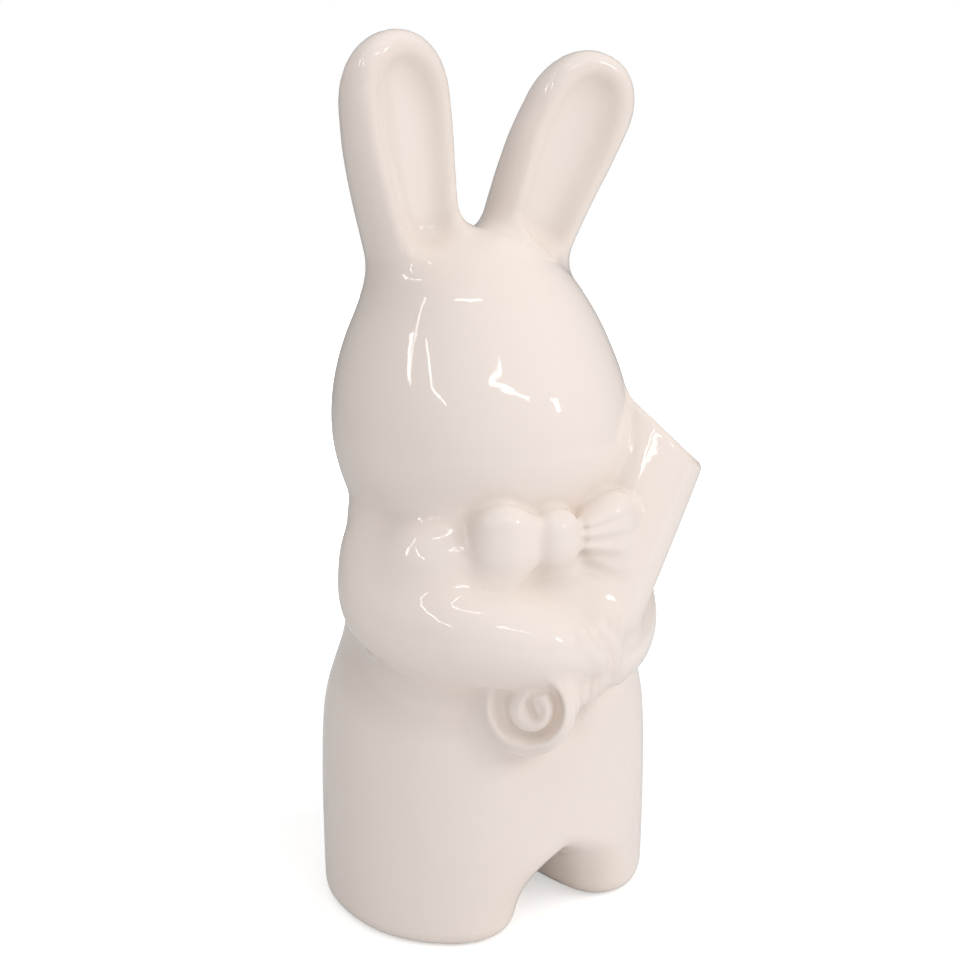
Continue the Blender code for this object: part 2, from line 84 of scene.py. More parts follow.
def swell(x, knots):
    """A smooth curve through (position, value) knots, level beyond its ends.

    A value may be a row of numbers."""
    at, value = (np.array(column, float) for column in zip(*knots))
    slope = np.gradient(value, at, axis=0)
    x = np.clip(x, at[0], at[-1])
    i = np.clip(np.searchsorted(at, x) - 1, 0, len(at) - 2)
    gap = at[i + 1] - at[i]
    t = (x - at[i]) / gap
    if value.ndim > 1:
        gap, t = gap[:, None], t[:, None]
    return ((2 * t**3 - 3 * t**2 + 1) * value[i] + (t**3 - 2 * t**2 + t) * gap * slope[i]
            + (3 * t**2 - 2 * t**3) * value[i + 1] + (t**3 - t**2) * gap * slope[i + 1])


def fade(x, start, end):
    """0 up to the start and 1 from the end on."""
    return np.clip((x - start) / (end - start), 0, 1)


def joined(a, b, fillet):
    """Two forms as one, with slip filling the corner between them."""
    h = np.maximum(fillet - np.abs(a - b), 0.0) / fillet
    return np.minimum(a, b) - h * h * fillet / 4


def trimmed(a, b, edge):
    """What two forms share, with a soft edge."""
    return -joined(-a, -b, edge)


def carved(a, b, edge):
    """Form a with form b taken out of it, with a soft edge."""
    return -joined(-a, b, edge)


def oval(x, y, half_x, half_y, squareness):
    """Depth in an upright column with a squarish oval section."""
    u, v = np.abs(x) / half_x, np.abs(y) / half_y
    rho = (u**squareness + v**squareness) ** (1 / squareness)
    steep = np.hypot(u ** (squareness - 1) / half_x, v ** (squareness - 1) / half_y)
    return (rho - 1) / np.maximum(steep / np.maximum(rho, 1e-6) ** (squareness - 1), 1e-6)


def cushion(across, deep, high, half, squareness):
    """Depth in a squarish egg with three half sizes."""
    q = np.abs(np.stack([across / half[0], deep / half[1], high / half[2]], 1))
    rho = (q**squareness).sum(1) ** (1 / squareness)
    steep = np.linalg.norm(q ** (squareness - 1) / half, axis=1) / np.maximum(rho, 1e-6) ** (squareness - 1)
    return (rho - 1) / np.maximum(steep, 1e-6)


def trunk(p):
    x, y, z = p.T
    wide = HIP_HALF_WIDTH * swell(z, TRUNK_PROFILE)
    front = fade(y, 0, CHEST_FRONT)
    from_chest = np.hypot(x - CHEST_MIDDLE[0], z - CHEST_MIDDLE[1]) / CHEST_SPREAD
    chest = CHEST_BULGE * np.exp(-(from_chest**2)) * front * front * (3 - 2 * front)
    f = oval(x, y + chest - TRUNK_BACK, wide, wide * TRUNK_DEPTH, TRUNK_SQUARENESS)
    f = trimmed(f, z - TRUNK_TOP, TRUNK_EDGE)
    f = joined(f, cushion(*(p - SHOULDER_MIDDLE).T, SHOULDER_HALF, 2.0), SHOULDER_FILLET)
    flare = NOTCH_FLARE * np.minimum(np.abs(y) / NOTCH_FLARE_REACH, 1.3) ** 3
    notch_half = (NOTCH_WAIST + flare) * swell(z, NOTCH_PROFILE)
    notch = (np.sqrt((x - NOTCH_MIDDLE) ** 2 + NOTCH_CROWN) - notch_half) * NOTCH_STEEPNESS
    f = carved(f, notch, NOTCH_EDGE)
    f = trimmed(f, -z, TRUNK_EDGE)
    vent = np.maximum(np.hypot(np.abs(x) - VENT_OFFSET, y) - VENT_RADIUS, z - VENT_DEPTH)
    return carved(f, vent, VENT_EDGE)


# Head
# A pear-shaped hollow casting, wider at the cheeks than at the crown, luted on at the neck. Its
# face has no more than the swelling of the cheeks and muzzle.
HEAD_MIDDLE = 180.0
HEAD_HALF_HEIGHT = 59.0
HEAD_SIDE = [(-1.0, 61.5), (-0.6, 59.8), (-0.25, 57.0), (0.0, 54.6), (0.3, 52.2), (0.6, 51.0), (1.0, 50.5)]
HEAD_FRONT = [(-1.0, 54.0), (-0.6, 53.0), (-0.25, 50.6), (0.0, 46.5), (0.3, 41.6), (0.6, 39.0), (1.0, 38.2)]
HEAD_BACK = [(-1.0, 50.0), (-0.6, 49.0), (-0.25, 48.8), (0.0, 48.8), (0.3, 48.8), (0.6, 49.0), (1.0, 49.0)]
NECK_FILLET = 5.0


def head(p):
    x, y, z = p.T
    q = np.clip((z - HEAD_MIDDLE) / HEAD_HALF_HEIGHT, -1.3, 1.3)
    side, front, back = swell(q, HEAD_SIDE), swell(q, HEAD_FRONT), swell(q, HEAD_BACK)
    deep, v = (back + front) / 2, y - (back - front) / 2
    rho = np.sqrt((x / side) ** 2 + (v / deep) ** 2 + q**2)
    steep = np.sqrt((x / side**2) ** 2 + (v / deep**2) ** 2 + (q / HEAD_HALF_HEIGHT) ** 2)
    return (rho - 1) / np.maximum(steep / np.maximum(rho, 1e-6), 1e-6)


# Ears
# Two long spoon-shaped pieces, pressed solid and luted on to the crown. Each is scooped out along
# its front face and leans out and forward.
EAR_ROOT = np.array([20.5, 7.5, 224.0])
EAR_LEAN = {1.0: 0.268, -1.0: 0.30}  # sideways for each millimetre up, left and right ear
EAR_TILT = -0.19
EAR_YAW = math.radians(6)
EAR_LENGTH = 80.0
EAR_DOME = 57.0                     # where the ear starts to close towards its tip
EAR_TIP_ROUNDNESS = 2.15
EAR_STUB = 14.0                     # how far it runs down into the head
EAR_HALF_WIDTH = [(-14, 16.6), (0, 16.7), (15, 17.1), (30, 18.4), (45, 19.8), (60, 20.0), (81, 20.0)]
EAR_HALF_THICKNESS = [(-14, 13.5), (0, 13.6), (15, 14.1), (30, 13.8), (45, 12.6), (60, 11.0), (81, 9.7)]
EAR_FACE = 11.0                     # the front face stands this far before the ear's line
EAR_SQUARENESS = 2.5
EAR_BEND = 2.6
EAR_BEND_RUN = 70.0
EAR_FORWARD = 3.5
EAR_FORWARD_RUN = 75.0
EAR_RIM = 5.0
EAR_SCOOP = 8.0
EAR_SCOOP_CROWN = 3.0
EAR_SCOOP_MIDDLE = 38.0
EAR_SCOOP_HALF_LENGTH = 36.0
EAR_SCOOP_FOOT = 4.0
EAR_SCOOP_ROUNDING = 9.0
EAR_SCOOP_FOOT_ROUNDING = 8.0
EAR_SCOOP_LIP = 4.5
EAR_STUB_EDGE = 4.0
EAR_FILLET = 10.0


def axes_along(along, face):
    """Unit axes of a placed form: across, as near to face as can be, and along."""
    n = np.array(along, float) / np.linalg.norm(along)
    v = np.array(face, float)
    v = v - v.dot(n) * n
    v /= np.linalg.norm(v)
    return np.cross(v, n), v, n


def ear(p, side):
    facing = (-math.sin(EAR_YAW), -math.cos(EAR_YAW), 0)
    across, face, along = axes_along((EAR_LEAN[side], EAR_TILT, 1.0), facing)
    d = p * (side, 1, 1) - EAR_ROOT
    n = d @ along
    u = d @ across * np.sign(across[0]) - EAR_BEND * np.clip(n / EAR_BEND_RUN, 0, 1.3) ** 2
    wide, crease_shade_and_tone = swell(n, EAR_HALF_WIDTH), swell(n, EAR_HALF_THICKNESS)
    v = d @ face + crease_shade_and_tone - EAR_FACE - EAR_FORWARD * np.clip(n / EAR_FORWARD_RUN, 0, 1.3) ** 2
    m, tip = EAR_SQUARENESS, EAR_TIP_ROUNDNESS
    up = np.clip(n - EAR_DOME, 0, None) / (EAR_LENGTH - EAR_DOME)
    ru, rv = np.abs(u) / wide, np.abs(v) / crease_shade_and_tone
    rho = ((ru**m + rv**m) ** (tip / m) + up**tip) ** (1 / tip)
    steep = np.sqrt((ru ** (m - 1) / wide) ** 2 + (rv ** (m - 1) / crease_shade_and_tone) ** 2
                    + (up ** (tip - 1) / (EAR_LENGTH - EAR_DOME)) ** 2)
    f = (rho - 1) / np.maximum(steep / np.maximum(rho, 1e-6) ** (m - 1), 1 / 40)
    from_middle = u / (wide - EAR_RIM)
    from_centre = np.clip((n - EAR_SCOOP_MIDDLE) / EAR_SCOOP_HALF_LENGTH, -2, 2)
    round_edge = (np.sqrt(from_middle**2 + from_centre**4) - 1) * (wide - EAR_RIM)
    floor = crease_shade_and_tone - EAR_SCOOP + EAR_SCOOP_CROWN * from_middle**2 - v
    scoop = trimmed(round_edge, floor, EAR_SCOOP_ROUNDING)
    scoop = trimmed(scoop, -(n + EAR_SCOOP_FOOT), EAR_SCOOP_FOOT_ROUNDING)
    return trimmed(carved(f, scoop, EAR_SCOOP_LIP), -(n + EAR_STUB), EAR_STUB_EDGE)


# Arms and hand
# The right arm is a pressed bar from the shoulder across the belly, whose fingers close on the
# bouquet as soft ridges. The left arm shows only beside it. Both are luted on.
RIGHT_ARM = [(-42.5, 1, 140), (-48, -7, 128), (-49.5, -15, 116.5), (-45, -25, 111), (-35, -37, 108.5),
             (-24, -45.5, 106), (-10, -52, 102), (-1, -54.0, 100), (3.5, -54.0, 98.5)]
RIGHT_ARM_RADIUS = [11.0, 13.4, 15.2, 16.3, 17.0, 16.0, 13.3, 9.9, 7.6]
LEFT_ARM = [(43, 2, 138), (48, -4, 128), (50, -13, 114), (48, -20.5, 106), (41, -32, 100), (28, -43, 95),
            (16, -50, 93)]
LEFT_ARM_RADIUS = [11.0, 13.0, 13.3, 12.2, 10.8, 10.2, 9.0]
FINGERS = [[(3.6, -59.5, 107.5), (9.2, -58.5, 101), (10.2, -57.5, 95.5), (9.2, -56, 91.5)],
           [(-5.4, -61, 108), (-2.4, -60.5, 103.5), (2.6, -59.5, 98.3), (4.6, -57.5, 91)]]
FINGER_RADIUS = 3.9
FINGER_TAPER = [0.85, 1.0, 1.0, 0.8]
FINGER_FILLET = 3.0
ARM_FILLET = 7.0                    # on the chest
HAND_FILLET = 8.0                   # more, where the hand lies on the wrapper
HAND_ACROSS = (-25.0, 0.0)
HAND_LEVELS = (98.0, 112.0)
UNDER_ARM_FILLET = 7.5              # more, under the right arm
UNDER_ARM_ACROSS = (-10.0, -45.0)
UNDER_ARM_LEVELS = (122.0, 92.0)
LEFT_ARM_FILLET = 4.0
FAR = 18.0                          # past this, a limb's depth isn't worked out


def limb(p, path, radii, steps=24):
    """Depth in a round bar along a smooth path, with its radius changing from point to point.

    The nearest of a few stations is found first, and then the nearest point of the path itself."""
    knots = np.column_stack([np.array(path, float), radii])
    knots = np.vstack([2 * knots[0] - knots[1], knots, 2 * knots[-1] - knots[-2]])
    knots[[0, -1], 3] = knots[[1, -2], 3]
    run = np.concatenate([[0], np.cumsum(np.linalg.norm(np.diff(knots[:, :3], axis=0), axis=1))])
    route = list(zip(run, knots))
    stations = np.linspace(run[1], run[-2], steps + 1)
    middles = swell(stations, route)

    def away(points, station):
        middle = swell(station, route)
        return np.linalg.norm(points - middle[:, :3], axis=1) - middle[:, 3]

    reach = max(radii) + FAR
    close = np.all((p > middles[:, :3].min(0) - reach) & (p < middles[:, :3].max(0) + reach), axis=1)
    q = p[close]
    nearest, at = np.full(len(q), FAR), np.zeros(len(q))
    for station, middle in zip(stations, middles):
        level = np.linalg.norm(q - middle[:3], axis=1) - middle[3]
        nearer = level < nearest
        nearest[nearer], at[nearer] = level[nearer], station
    near = nearest < FAR
    q, at = q[near], at[near]
    for width in (stations[1] - stations[0]) / np.array([1, 6]):
        before, here, after = away(q, at - width), away(q, at), away(q, at + width)
        shift = width / 2 * (before - after) / np.maximum(before - 2 * here + after, 1e-9)
        at = np.clip(at + np.clip(shift, -width, width), run[1], run[-2])
    nearest[near] = np.minimum(away(q, at), FAR)
    f = np.full(len(p), FAR)
    f[close] = nearest
    return f


def right_arm(p):
    f = limb(p, RIGHT_ARM, RIGHT_ARM_RADIUS)
    for finger in FINGERS:
        radii = [taper * FINGER_RADIUS for taper in FINGER_TAPER]
        f = joined(f, limb(p, finger, radii, 10), FINGER_FILLET)
    return f


def left_arm(p):
    return limb(p, LEFT_ARM, LEFT_ARM_RADIUS)


# Bouquet wrapper
# A sheet of wrapping rolled into a cone, cast hollow: the vessel that holds the stems. Its mouth
# is cut off obliquely beside the left cheek.
WRAPPER_WAIST = np.array([3.0, -50.0, 87.0])
WRAPPER_MOUTH = np.array([59.8, -20.0, 172.0])
WRAPPER_ALONG = (WRAPPER_MOUTH - WRAPPER_WAIST) / np.linalg.norm(WRAPPER_MOUTH - WRAPPER_WAIST)
WRAPPER_RADIUS = [(-12, 5.5), (0, 6.8), (12, 10.4), (24, 14.9), (40, 17.4), (70, 21.6), (108, 26.3),
                  (150, 31.5)]
WRAPPER_STEEPNESS = 0.97
WRAPPER_STUB = 6.0                  # how far it runs on past the waist, into the rolled end
WRAPPER_STUB_EDGE = 4.0
WRAPPER_WALL = 4.0
HOLLOW_BOTTOM = 22.0
HOLLOW_BOTTOM_EDGE = 16.0
MOUTH_NORMAL = np.array([0.557, -0.39, 0.73]) / np.linalg.norm([0.557, -0.39, 0.73])
MOUTH_EDGE = 2.4
MOUTH_INNER_EDGE = 3.0
WRAPPER_FILLET = 3.0                # against the head
WRAPPER_LOW_FILLET = 9.0            # more, against the belly
WRAPPER_LOW_LEVELS = (140.0, 120.0)


def above_mouth(p):
    return (p - WRAPPER_MOUTH) @ MOUTH_NORMAL


def off_wrapper(p):
    """Place along the wrapper from its waist, and distance out from its side."""
    d = p - WRAPPER_WAIST
    t = d @ WRAPPER_ALONG
    return t, np.linalg.norm(d - t[:, None] * WRAPPER_ALONG, axis=1) - swell(t, WRAPPER_RADIUS)


def wrapper(p):
    t, out = off_wrapper(p)
    f = trimmed(out * WRAPPER_STEEPNESS, above_mouth(p), MOUTH_EDGE)
    return trimmed(f, -(t + WRAPPER_STUB), WRAPPER_STUB_EDGE)


def wrapper_hollow(p):
    t, out = off_wrapper(p)
    return trimmed((out + WRAPPER_WALL) * WRAPPER_STEEPNESS, HOLLOW_BOTTOM - t, HOLLOW_BOTTOM_EDGE)


# Rolled end
# The wrapper's narrow end flares out again below the hand and shows the rolled edge of its sheet:
# a rim that spreads on to the belly, inside it the sheet's inner turn, off centre, closing on a
# slit, and a pleated skirt that runs up into the hand.
ROLL_FACE = np.array([-23.3, -57.0, 86.2])
ROLL_OUT = (-0.72, -0.68, 0.10)
ROLL_STANDS = np.array([-0.40, -0.91, 0.08])
ROLL_DEEP = 20.0
ROLL_SIDE = [(-16, 19.0), (-10, 18.7), (-6.5, 17.9), (-4, 16.7), (-2, 15.2), (0, 13.7), (4, 13.5)]
ROLL_STEEPNESS = 0.9
ROLL_EDGE = 2.0
ROLL_RELIEF = [(0.0, -1.4), (2.4, -1.1), (5.2, 0.0), (6.8, -0.8), (9.2, -3.7), (10.8, -2.3), (12.2, -0.2),
               (13.0, 0.0), (14.6, -0.8), (17, -2.4)]
ROLL_INNER = (2.2, -0.6)            # how far off centre the inner turn lies
ROLL_SLIT = [(4.6, 6.0), (1.6, 5.0), (0.4, 2.9), (1.0, 0.2), (2.4, -2.4)]
ROLL_SLIT_DEPTH = 1.3
ROLL_SLIT_HALF_WIDTH = 1.1
ROLL_INNER_REACH = (12.5, 2.5)      # the relief moves off centre between these radii
SKIRT = [(-22.5, -54.5, 86.0), (-10, -54.0, 88.0), (2.6, -53.5, 90.0)]
SKIRT_RADIUS = [12.8, 9.2, 5.4]
SKIRT_FILLET = 3.0
SKIRT_PLEAT_SPACING = 4.56
SKIRT_PLEAT_DEPTH = 0.35
ROLL_FILLET = 4.0


def from_line(across, up, line):
    """Distance from a line drawn on a face."""
    nearest = np.full(len(across), 99.0)
    for (x0, y0), (x1, y1) in zip(line[:-1], line[1:]):
        t = ((across - x0) * (x1 - x0) + (up - y0) * (y1 - y0)) / ((x1 - x0) ** 2 + (y1 - y0) ** 2)
        t = np.clip(t, 0, 1)
        nearest = np.minimum(nearest, np.hypot(across - x0 - t * (x1 - x0), up - y0 - t * (y1 - y0)))
    return nearest


def rolled_end(p):
    right, up, out = axes_along(ROLL_OUT, (0, 0, 1))
    d = p - ROLL_FACE
    behind = d @ out / np.dot(ROLL_STANDS, out)
    ring = d - behind[:, None] * ROLL_STANDS
    side = (np.hypot(ring @ right, ring @ up) - swell(behind, ROLL_SIDE)) * ROLL_STEEPNESS
    side = trimmed(side, -behind - ROLL_DEEP, ROLL_EDGE)
    skirt_run = np.array(SKIRT[-1]) - SKIRT[0]
    pleats = np.cos(math.tau * (d @ skirt_run) / np.linalg.norm(skirt_run) / SKIRT_PLEAT_SPACING)
    skirt = limb(p, SKIRT, SKIRT_RADIUS, 8) + SKIRT_PLEAT_DEPTH * pleats
    across, high = d @ right, d @ up
    inner = fade(np.hypot(across, high), *ROLL_INNER_REACH)
    radius = np.hypot(across - inner * ROLL_INNER[0], high - inner * ROLL_INNER[1])
    slit = np.exp(-((from_line(across, high, ROLL_SLIT) / ROLL_SLIT_HALF_WIDTH) ** 2))
    relief = swell(radius, ROLL_RELIEF) - ROLL_SLIT_DEPTH * slit
    return trimmed(joined(side, skirt, SKIRT_FILLET), d @ out - relief, ROLL_EDGE)


# Bow tie
# Two soft loops drawn together by a knot, pressed on under the chin. The left one lies on the
# wrapper and is pleated where the knot gathers it.
KNOT_MIDDLE = (-4.6, -46.3, 137.6)
KNOT_HALF = (9.3, 7.9, 10.6)
KNOT_SQUARENESS = 2.3
LOOPS = [(-1, (-19.1, -42.6, 137.8)), (1, (15.8, -46.8, 137.8))]
LOOP_HALF = (14.4, 9.4, 13.4)
LOOP_SQUARENESS = 2.9
LOOP_PINCH = 0.55
LOOP_FACE = 0.3
LOOP_FILLET = 2.4
PLEAT_SPACING = 7.6
PLEAT_DROP = 1.4                    # how far the middle pleat lies below the loop's middle
PLEAT_DEPTH = 0.8
PLEAT_ACROSS = (0.7, -0.3)          # pleats deepen towards the knot, in half loops
PLEAT_LEVELS = (9.0, 6.0)
BOW_FILLET = 3.0
BOW_LOW_FILLET = 5.0                # more, below the bow
BOW_LOW_LEVELS = (134.0, 126.0)


def bow(p):
    f = cushion(*(p - KNOT_MIDDLE).T, KNOT_HALF, KNOT_SQUARENESS)
    for side, middle in LOOPS:
        turned = side * LOOP_FACE
        d = p - middle
        across = side * (d[:, 0] * math.cos(turned) + d[:, 1] * math.sin(turned))
        deep = d[:, 1] * math.cos(turned) - d[:, 0] * math.sin(turned)
        far = fade(across / LOOP_HALF[0], -1, 0.3)
        full = LOOP_PINCH + (1 - LOOP_PINCH) * far * far * (3 - 2 * far)
        high = d[:, 2] / full
        loop = cushion(across, deep / full, high, LOOP_HALF, LOOP_SQUARENESS) * np.minimum(full * 1.1, 1)
        if side > 0:
            gathered = fade(across / LOOP_HALF[0], *PLEAT_ACROSS) * fade(high, *PLEAT_LEVELS)
            pleats = 0.5 + 0.5 * np.cos(math.tau * (high + PLEAT_DROP) / PLEAT_SPACING)
            loop = loop + PLEAT_DEPTH * gathered * pleats
        f = joined(f, loop, LOOP_FILLET)
    return f


# Tail
# A ball of clay luted on to the back of the hips. The photograph doesn't show that side, so its
# size and place are what such figures have.
TAIL_MIDDLE = (0.0, 52.3, 62.0)
TAIL_RADIUS = 12.0
TAIL_FILLET = 4.0


def tail(p):
    return np.linalg.norm(p - TAIL_MIDDLE, axis=1) - TAIL_RADIUS


# Glaze
# Glossy warm white glaze over the whole figure but the soles, which are wiped bare for firing.
# Creases and seams are painted a darker, warmer colour: painted shade.
TRUNK_PLACE = Vector((-0.008324, 0.001579, 0.0))  # the trunk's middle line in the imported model, in metres
SKIN_LOW, SKIN_HIGH = np.array([-68.0, -76.0, -7.0]), np.array([90.0, 70.0, 306.0])
SKIN_PITCH = 1.95
BLOCK = 4


def figure(p):
    x, y, z = p.T
    f = joined(trunk(p), head(p), NECK_FILLET)
    f = joined(f, ear(p, 1.0), EAR_FILLET)
    f = joined(f, ear(p, -1.0), EAR_FILLET)
    f = joined(f, tail(p), TAIL_FILLET)
    f = joined(f, wrapper(p), WRAPPER_FILLET + WRAPPER_LOW_FILLET * fade(z, *WRAPPER_LOW_LEVELS))
    by_hand = fade(x, *HAND_ACROSS) * fade(z, *HAND_LEVELS)
    under_arm = fade(x, *UNDER_ARM_ACROSS) * fade(z, *UNDER_ARM_LEVELS)
    f = joined(f, right_arm(p), ARM_FILLET + HAND_FILLET * by_hand + UNDER_ARM_FILLET * under_arm)
    f = joined(f, left_arm(p), LEFT_ARM_FILLET)
    f = joined(f, bow(p), BOW_FILLET + BOW_LOW_FILLET * fade(z, *BOW_LOW_LEVELS))
    f = joined(f, rolled_end(p), ROLL_FILLET)
    return carved(f, wrapper_hollow(p), MOUTH_INNER_EDGE)


def slope_at(p, step=0.04):
    """The figure's depth and how it changes along each axis."""
    level = figure(p)
    return level, np.stack([(figure(p + step * axis) - level) / step for axis in np.eye(3)], 1)


def laid_on(p, rounds=2):
    """Moves points straight to the figure's surface."""
    for _ in range(rounds):
        level, slope = slope_at(p)
        step = level / np.maximum((slope**2).sum(1), 0.1)
        p = p - np.clip(step, -1.0, 1.0)[:, None] * slope
    return p


def grid_points(counts, pitch, start):
    """Places on a grid, one row for each."""
    axes = [start[i] + pitch * np.arange(counts[i]) for i in range(3)]
    return np.stack([g.ravel() for g in np.meshgrid(*axes, indexing="ij")], 1)


# The depth is worked out once in each block of cells, and in every cell only near the surface.
blocks = np.ceil((SKIN_HIGH - SKIN_LOW) / (SKIN_PITCH * BLOCK)).astype(int)
block_middles = grid_points(blocks, SKIN_PITCH * BLOCK, SKIN_LOW + SKIN_PITCH * (BLOCK - 1) / 2)
depth = np.kron(figure(block_middles).reshape(blocks), np.ones((BLOCK, BLOCK, BLOCK)))
near = np.abs(depth) < FAR
depth[near] = figure(grid_points(depth.shape, SKIN_PITCH, SKIN_LOW)[near.ravel()])
level_set = openvdb.FloatGrid()
level_set.copyFromArray(depth.astype(np.float32))
corners, quads = level_set.convertToQuads(isovalue=0.0)
corners = laid_on(corners * SKIN_PITCH + SKIN_LOW)
mesh = bpy.data.meshes.new("glazed_figure")
mesh.from_pydata(corners.tolist(), [], quads.tolist())

# The skin is divided once within the first reach of these spots and of the mouth's rim, and once
# more within the second: the bow, the rolled end, the hand and the crease under the right elbow.
FINE_SPOTS = [((0, -45, 138), 34, 28), ((-27, -60, 85), 24, 20), ((8, -60, 98), 20, 15),
              ((-54, -3, 101), 16, 11)]
FINE_RIM = (5.0, 2.5)
FINE_RIM_REACH = 42.0


def finer(p, rank):
    mask = np.abs(above_mouth(p)) < FINE_RIM[rank]
    mask &= np.linalg.norm(p - WRAPPER_MOUTH, axis=1) < FINE_RIM_REACH
    for middle, *reach in FINE_SPOTS:
        mask |= np.linalg.norm(p - middle, axis=1) < reach[rank]
    return mask


skin = bmesh.new()
skin.from_mesh(mesh)
for rank in (0, 1):
    mask = finer(np.array([v.co for v in skin.verts]), rank)
    skin.verts.index_update()
    edges = [e for e in skin.edges if mask[e.verts[0].index] and mask[e.verts[1].index]]
    bmesh.ops.subdivide_edges(skin, edges=edges, cuts=1, use_grid_fill=True)
    laid = laid_on(np.array([v.co for v in skin.verts]))
    for v, place in zip(skin.verts, laid):
        v.co = place
bmesh.ops.recalc_face_normals(skin, faces=skin.faces[:])
skin.to_mesh(mesh)
skin.free()

# Painted shade: how deep a point lies in a crease or seam is measured this far out from the surface.
CREASE_SHADE_REACH = 3.0
SOLE_LEVEL = 0.7

places = np.array([v.co for v in mesh.vertices])
slope = slope_at(places)[1]
outward = slope / np.maximum(np.linalg.norm(slope, axis=1), 1e-6)[:, None]
mesh.polygons.foreach_set("use_smooth", [True] * len(mesh.polygons))
# Painted shade: a point layer that rises in creases and seams, where the surface a little way out still
# lies close, and darkens the colour there.
crease_shade_layer = mesh.attributes.new("painted_crease_shade", "FLOAT", "POINT")
crease_shade_layer.data.foreach_set("value", np.clip(1 - figure(places + CREASE_SHADE_REACH * outward) / CREASE_SHADE_REACH, -1, 1))
bare = mesh.attributes.new("sole_bare", "FLOAT", "POINT")
bare.data.foreach_set("value", fade(places[:, 2], SOLE_LEVEL, SOLE_LEVEL - 0.5) * (outward[:, 2] < -0.6))
mesh.vertices.foreach_set("co", (places * 0.001 + np.array(TRUNK_PLACE)).ravel())
mesh.normals_split_custom_set_from_vertices(outward.tolist())
mesh.update()
scene = bpy.context.scene
glazed_figure = bpy.data.objects.new("glazed_figure", mesh)
scene.collection.objects.link(glazed_figure)
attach(glazed_figure, "root")
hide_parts("body", "head", "ear_right", "ear_left", "arm_right", "arm_left",
            "bouquet_wrapper_vessel", "wrapper_rolled_end", "bow_loop_right", "bow_loop_left", "bow_knot",
            "tail")

GLAZE_COLOUR = (0.85, 0.76, 0.70, 1.0)
# Painted shade: the darker, warmer colour laid into creases and seams.
CREASE_SHADE_COLOUR = (0.80, 0.69, 0.61, 1.0)
BARE_CLAY_COLOUR = (0.72, 0.66, 0.60, 1.0)
GLAZE_ROUGHNESS = 0.03
BARE_CLAY_ROUGHNESS = 0.7
GLAZE_IOR = 1.5


class Value:
    """A shader socket that takes part in Python sums."""

    def __init__(self, tree, socket):
        self.tree, self.socket = tree, socket

    def maths(self, operation, first, second):
        return node(self.tree, "ShaderNodeMath", {"operation": operation}, {0: first, 1: second})

    def __add__(self, other):
        return self.maths("ADD", self, other)

    def __sub__(self, other):
        return self.maths("SUBTRACT", self, other)

    def __rsub__(self, other):
        return self.maths("SUBTRACT", other, self)

    def __mul__(self, other):
        return self.maths("MULTIPLY", self, other)

    __radd__, __rmul__ = __add__, __mul__


def node(tree, kind, settings, inputs, output=0):
    """Adds a node with its settings and its sockets' values or links, and gives one of its outputs."""
    made = tree.nodes.new(kind)
    for name, value in settings.items():
        setattr(made, name, value)
    for name, value in inputs.items():
        if isinstance(value, Value):
            tree.links.new(value.socket, made.inputs[name])
        else:
            made.inputs[name].default_value = value
    return Value(tree, made.outputs[output])


glaze = bpy.data.materials.new("white_glaze")
glaze.use_nodes = True
tree = glaze.node_tree
shader = tree.nodes["Principled BSDF"]
place = node(tree, "ShaderNodeTexCoord", {}, {}, "Object")
# The painted crease shade, read back from the skin's point layer.
crease_shade = node(tree, "ShaderNodeAttribute", {"attribute_name": "painted_crease_shade"}, {}, "Fac")
sole = node(tree, "ShaderNodeAttribute", {"attribute_name": "sole_bare"}, {}, "Fac")
cloud = node(tree, "ShaderNodeTexNoise", {}, {"Vector": place, "Scale": 22.0, "Detail": 3.0}, "Fac")
ripple = node(tree, "ShaderNodeTexNoise", {}, {"Vector": place, "Scale": 140.0, "Detail": 1.0}, "Fac")
grain = node(tree, "ShaderNodeTexNoise", {}, {"Vector": place, "Scale": 2600.0, "Detail": 2.0}, "Fac")
# Painted shade in creases and seams, with random patches of tone from the cloud noise.
crease_shade_and_tone = node(tree, "ShaderNodeMath", {"operation": "ADD", "use_clamp": True},
             {0: crease_shade * 0.9, 1: (cloud - 0.5) * 0.5})
colours = {"data_type": "RGBA"}
tone = node(tree, "ShaderNodeMix", colours, {0: crease_shade_and_tone, 6: GLAZE_COLOUR, 7: CREASE_SHADE_COLOUR}, 2)
tone = node(tree, "ShaderNodeMix", colours, {0: sole, 6: tone, 7: BARE_CLAY_COLOUR}, 2)
tree.links.new(tone.socket, shader.inputs["Base Color"])
roughness = GLAZE_ROUGHNESS + cloud * 0.04 + sole * BARE_CLAY_ROUGHNESS
tree.links.new(roughness.socket, shader.inputs["Roughness"])
height = ripple * 0.10 * (1 - sole) + grain * sole * 0.12
bump = node(tree, "ShaderNodeBump", {}, {"Strength": 1.0, "Distance": 0.001, "Height": height}, "Normal")
tree.links.new(bump.socket, shader.inputs["Normal"])
shader.inputs["IOR"].default_value = GLAZE_IOR
mesh.materials.append(glaze)

# Studio
# A plain white floor that fades into white air, soft light from all round, and a few narrow lights
# whose reflections draw the glaze's bright streaks.
FLOOR_HALF_WIDTH = 6.0
FLOOR_WHITE = (0.88, 0.88, 0.88, 1.0)
LIGHT_WHITE = (1.0, 1.0, 1.0, 1.0)
AIR_LIGHT = 0.30

floor_sheet = bmesh.new()
bmesh.ops.create_grid(floor_sheet, x_segments=1, y_segments=1, size=FLOOR_HALF_WIDTH)
floor_mesh = bpy.data.meshes.new("studio_floor")
floor_sheet.to_mesh(floor_mesh)
floor_sheet.free()
studio_floor = bpy.data.objects.new("studio_floor", floor_mesh)
scene.collection.objects.link(studio_floor)

